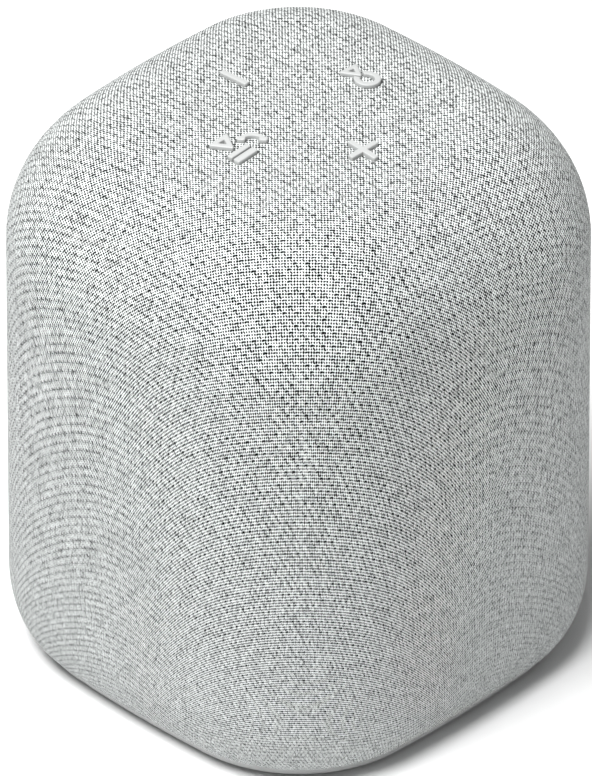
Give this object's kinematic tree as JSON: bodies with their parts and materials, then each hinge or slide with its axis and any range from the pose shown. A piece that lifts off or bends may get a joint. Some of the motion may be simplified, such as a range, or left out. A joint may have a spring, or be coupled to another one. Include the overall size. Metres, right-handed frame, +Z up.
{
  "type": "smart speaker",
  "caption": "Compact mains-powered smart speaker: a rounded square column covered in woven cloth, with raised press buttons in its domed top and a thin plastic ring at its foot.",
  "frame": {"origin": "centre of the underside of the rubber foot", "axes": "+Z up, -Y towards the listener (the side the button symbols are read from), +X to that listener's right"},
  "size_m": [0.1402, 0.1402, 0.1719],
  "materials": {
    "cover_fabric": "coarse two-tone woven polyester, light grey",
    "case_plastic": "fine-grained moulded plastic, light grey",
    "button_plastic": "smooth satin plastic, pale grey",
    "inner_plastic": "black moulded structural plastic",
    "foot_rubber": "soft grey silicone",
    "black_rubber": "black butyl rubber",
    "cone_paper": "pressed black paper pulp",
    "spider_cloth": "resin-dipped cotton cloth",
    "steel": "zinc-plated steel",
    "magnet_ferrite": "sintered ferrite, dark grey",
    "brass": "nickel-plated brass",
    "copper": "enamelled copper winding",
    "aluminium": "black-anodised extrusion",
    "circuit_board": "green solder mask over glass-epoxy laminate",
    "component_black": "moulded component bodies",
    "wadding": "loose white polyester fibre"
  },
  "bodies": {
    "speaker_body": {"acoustic_wadding": "wadding", "antennas": "circuit_board", "base_plate": "case_plastic", "base_screws": "steel", "board_screws": "steel", "button_switches": "component_black", "cabinet_back": "inner_plastic", "cabinet_gasket": "black_rubber", "cabinet_screws": "steel", "cabinet_shell": "inner_plastic", "control_board": "circuit_board", "control_board_screws": "steel", "control_ribbon": "case_plastic", "fabric_cover": "cover_fabric", "foot_ring": "foot_rubber", "grille_shell": "inner_plastic", "heatsink": "aluminium", "inlet_pins": "brass", "left_radiator_frame": "inner_plastic", "left_radiator_surround": "black_rubber", "main_board": "circuit_board", "mains_inlet": "inner_plastic", "microphone_boots": "black_rubber", "microphones": "steel", "power_board": "circuit_board", "power_capacitors": "component_black", "radiator_screws": "steel", "rear_panel": "case_plastic", "right_radiator_frame": "inner_plastic", "right_radiator_surround": "black_rubber", "top_cap": "inner_plastic", "transformer": "copper", "tweeter_housing": "inner_plastic", "tweeter_magnet": "magnet_ferrite", "tweeter_screws": "steel", "tweeter_surround": "black_rubber", "wireless_module": "steel", "woofer_frame": "inner_plastic", "woofer_gasket": "black_rubber", "woofer_magnet": "magnet_ferrite", "woofer_screws": "steel", "woofer_spider": "spider_cloth", "woofer_surround": "black_rubber", "woofer_top_plate": "steel", "woofer_yoke": "steel"},
    "minus_button": {"minus_button": "button_plastic", "minus_switch_plunger": "component_black"},
    "plus_button": {"plus_button": "button_plastic", "plus_switch_plunger": "component_black"},
    "play_button": {"play_button": "button_plastic", "play_switch_plunger": "component_black"},
    "preset_button": {"preset_button": "button_plastic", "preset_switch_plunger": "component_black"},
    "woofer_moving": {"woofer_cone": "cone_paper", "woofer_dust_cap": "cone_paper", "woofer_voice_coil": "copper"},
    "tweeter_moving": {"tweeter_dome": "cone_paper"},
    "left_radiator_moving": {"left_radiator_plate": "aluminium"},
    "right_radiator_moving": {"right_radiator_plate": "aluminium"}
  },
  "joints": [
    {"name": "minus_button_press", "type": "slide", "parent": "speaker_body", "child": "minus_button", "axis": [0, 0, -1], "range_m": [0, 0.0005], "stiffness_N_per_m": 3000},
    {"name": "plus_button_press", "type": "slide", "parent": "speaker_body", "child": "plus_button", "axis": [0, 0, -1], "range_m": [0, 0.0005], "stiffness_N_per_m": 3000},
    {"name": "play_button_press", "type": "slide", "parent": "speaker_body", "child": "play_button", "axis": [0, 0, -1], "range_m": [0, 0.0005], "stiffness_N_per_m": 3000},
    {"name": "preset_button_press", "type": "slide", "parent": "speaker_body", "child": "preset_button", "axis": [0, 0, -1], "range_m": [0, 0.0005], "stiffness_N_per_m": 3000},
    {"name": "woofer_stroke", "type": "slide", "parent": "speaker_body", "child": "woofer_moving", "axis": [0, -1, 0], "range_m": [-0.0035, 0.0035], "stiffness_N_per_m": 1200, "deforming": ["woofer_surround", "woofer_spider"]},
    {"name": "tweeter_stroke", "type": "slide", "parent": "speaker_body", "child": "tweeter_moving", "axis": [0, -1, 0], "range_m": [-0.0003, 0.0003], "stiffness_N_per_m": 1500, "deforming": ["tweeter_surround"]},
    {"name": "left_radiator_stroke", "type": "slide", "parent": "speaker_body", "child": "left_radiator_moving", "axis": [-1, 0, 0], "range_m": [-0.004, 0.004], "stiffness_N_per_m": 900, "deforming": ["left_radiator_surround"]},
    {"name": "right_radiator_stroke", "type": "slide", "parent": "speaker_body", "child": "right_radiator_moving", "axis": [1, 0, 0], "range_m": [-0.004, 0.004], "stiffness_N_per_m": 900, "deforming": ["right_radiator_surround"]}
  ]
}
